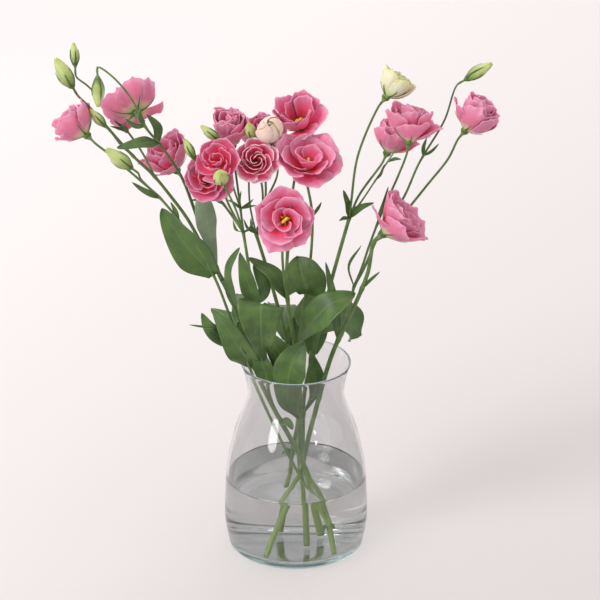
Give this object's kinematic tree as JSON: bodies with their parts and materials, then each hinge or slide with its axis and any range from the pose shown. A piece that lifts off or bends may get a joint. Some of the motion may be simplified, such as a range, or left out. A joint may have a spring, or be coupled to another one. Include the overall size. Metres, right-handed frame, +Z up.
{
  "type": "lisianthus flower",
  "caption": "Cut lisianthus stems with ruffled double pink blooms, pale green buds and broad leaves, fanned out of a clear glass vase of water.",
  "frame": {"origin": "centre of the vase's flat foot, on the surface that it stands on", "axes": "+Z up, +X to the right as seen from the front, +Y away from the front; the bunch fans out along X and is shallow along Y"},
  "size_m": [0.433, 0.1604, 0.5281],
  "materials": {
    "glass": "clear, polished glass with a faint blue-green edge",
    "water": "clear, still water",
    "greens": "waxy mid-green stems and leaves with a pale grey-green bloom on the leaves' undersides",
    "petals": "soft satin pink petals with lighter edges and a deeper rose heart",
    "buds": "satin yellow-green furled buds",
    "pale_petals": "satin cream petals just opening, one with a pink flush",
    "stamens": "powdery golden stigma and anthers"
  },
  "bodies": {
    "root": {"vase": "glass", "water": "water", "left_stem": "greens", "front_stem": "greens", "middle_stem": "greens", "right_inner_stem": "greens", "right_stem": "greens", "bloom_front": "petals", "bloom_wide": "petals", "bloom_top": "petals", "bloom_mid_spiral": "petals", "bloom_mid_lower": "petals", "bloom_mid_upper": "petals", "bloom_mid_back": "petals", "bloom_mid_hidden": "petals", "bloom_right_low": "petals", "bloom_right_upper": "petals", "bloom_right_back": "petals", "bloom_right_outer": "petals", "bloom_left_low": "petals", "bloom_left_top": "petals", "bloom_left_outer": "petals", "bud_left_high": "buds", "bud_left_tip": "buds", "bud_left_nodding": "buds", "bud_left_slim": "buds", "bud_left_side": "buds", "bud_mid_left_high": "buds", "bud_mid_left_low": "buds", "bud_mid_small": "buds", "bud_mid_round": "buds", "bud_right_tip": "buds", "bud_mid_pale": "pale_petals", "bud_right_pale": "pale_petals", "stamens_front": "stamens", "stamens_wide": "stamens", "stamens_top": "stamens"}
  },
  "joints": []
}
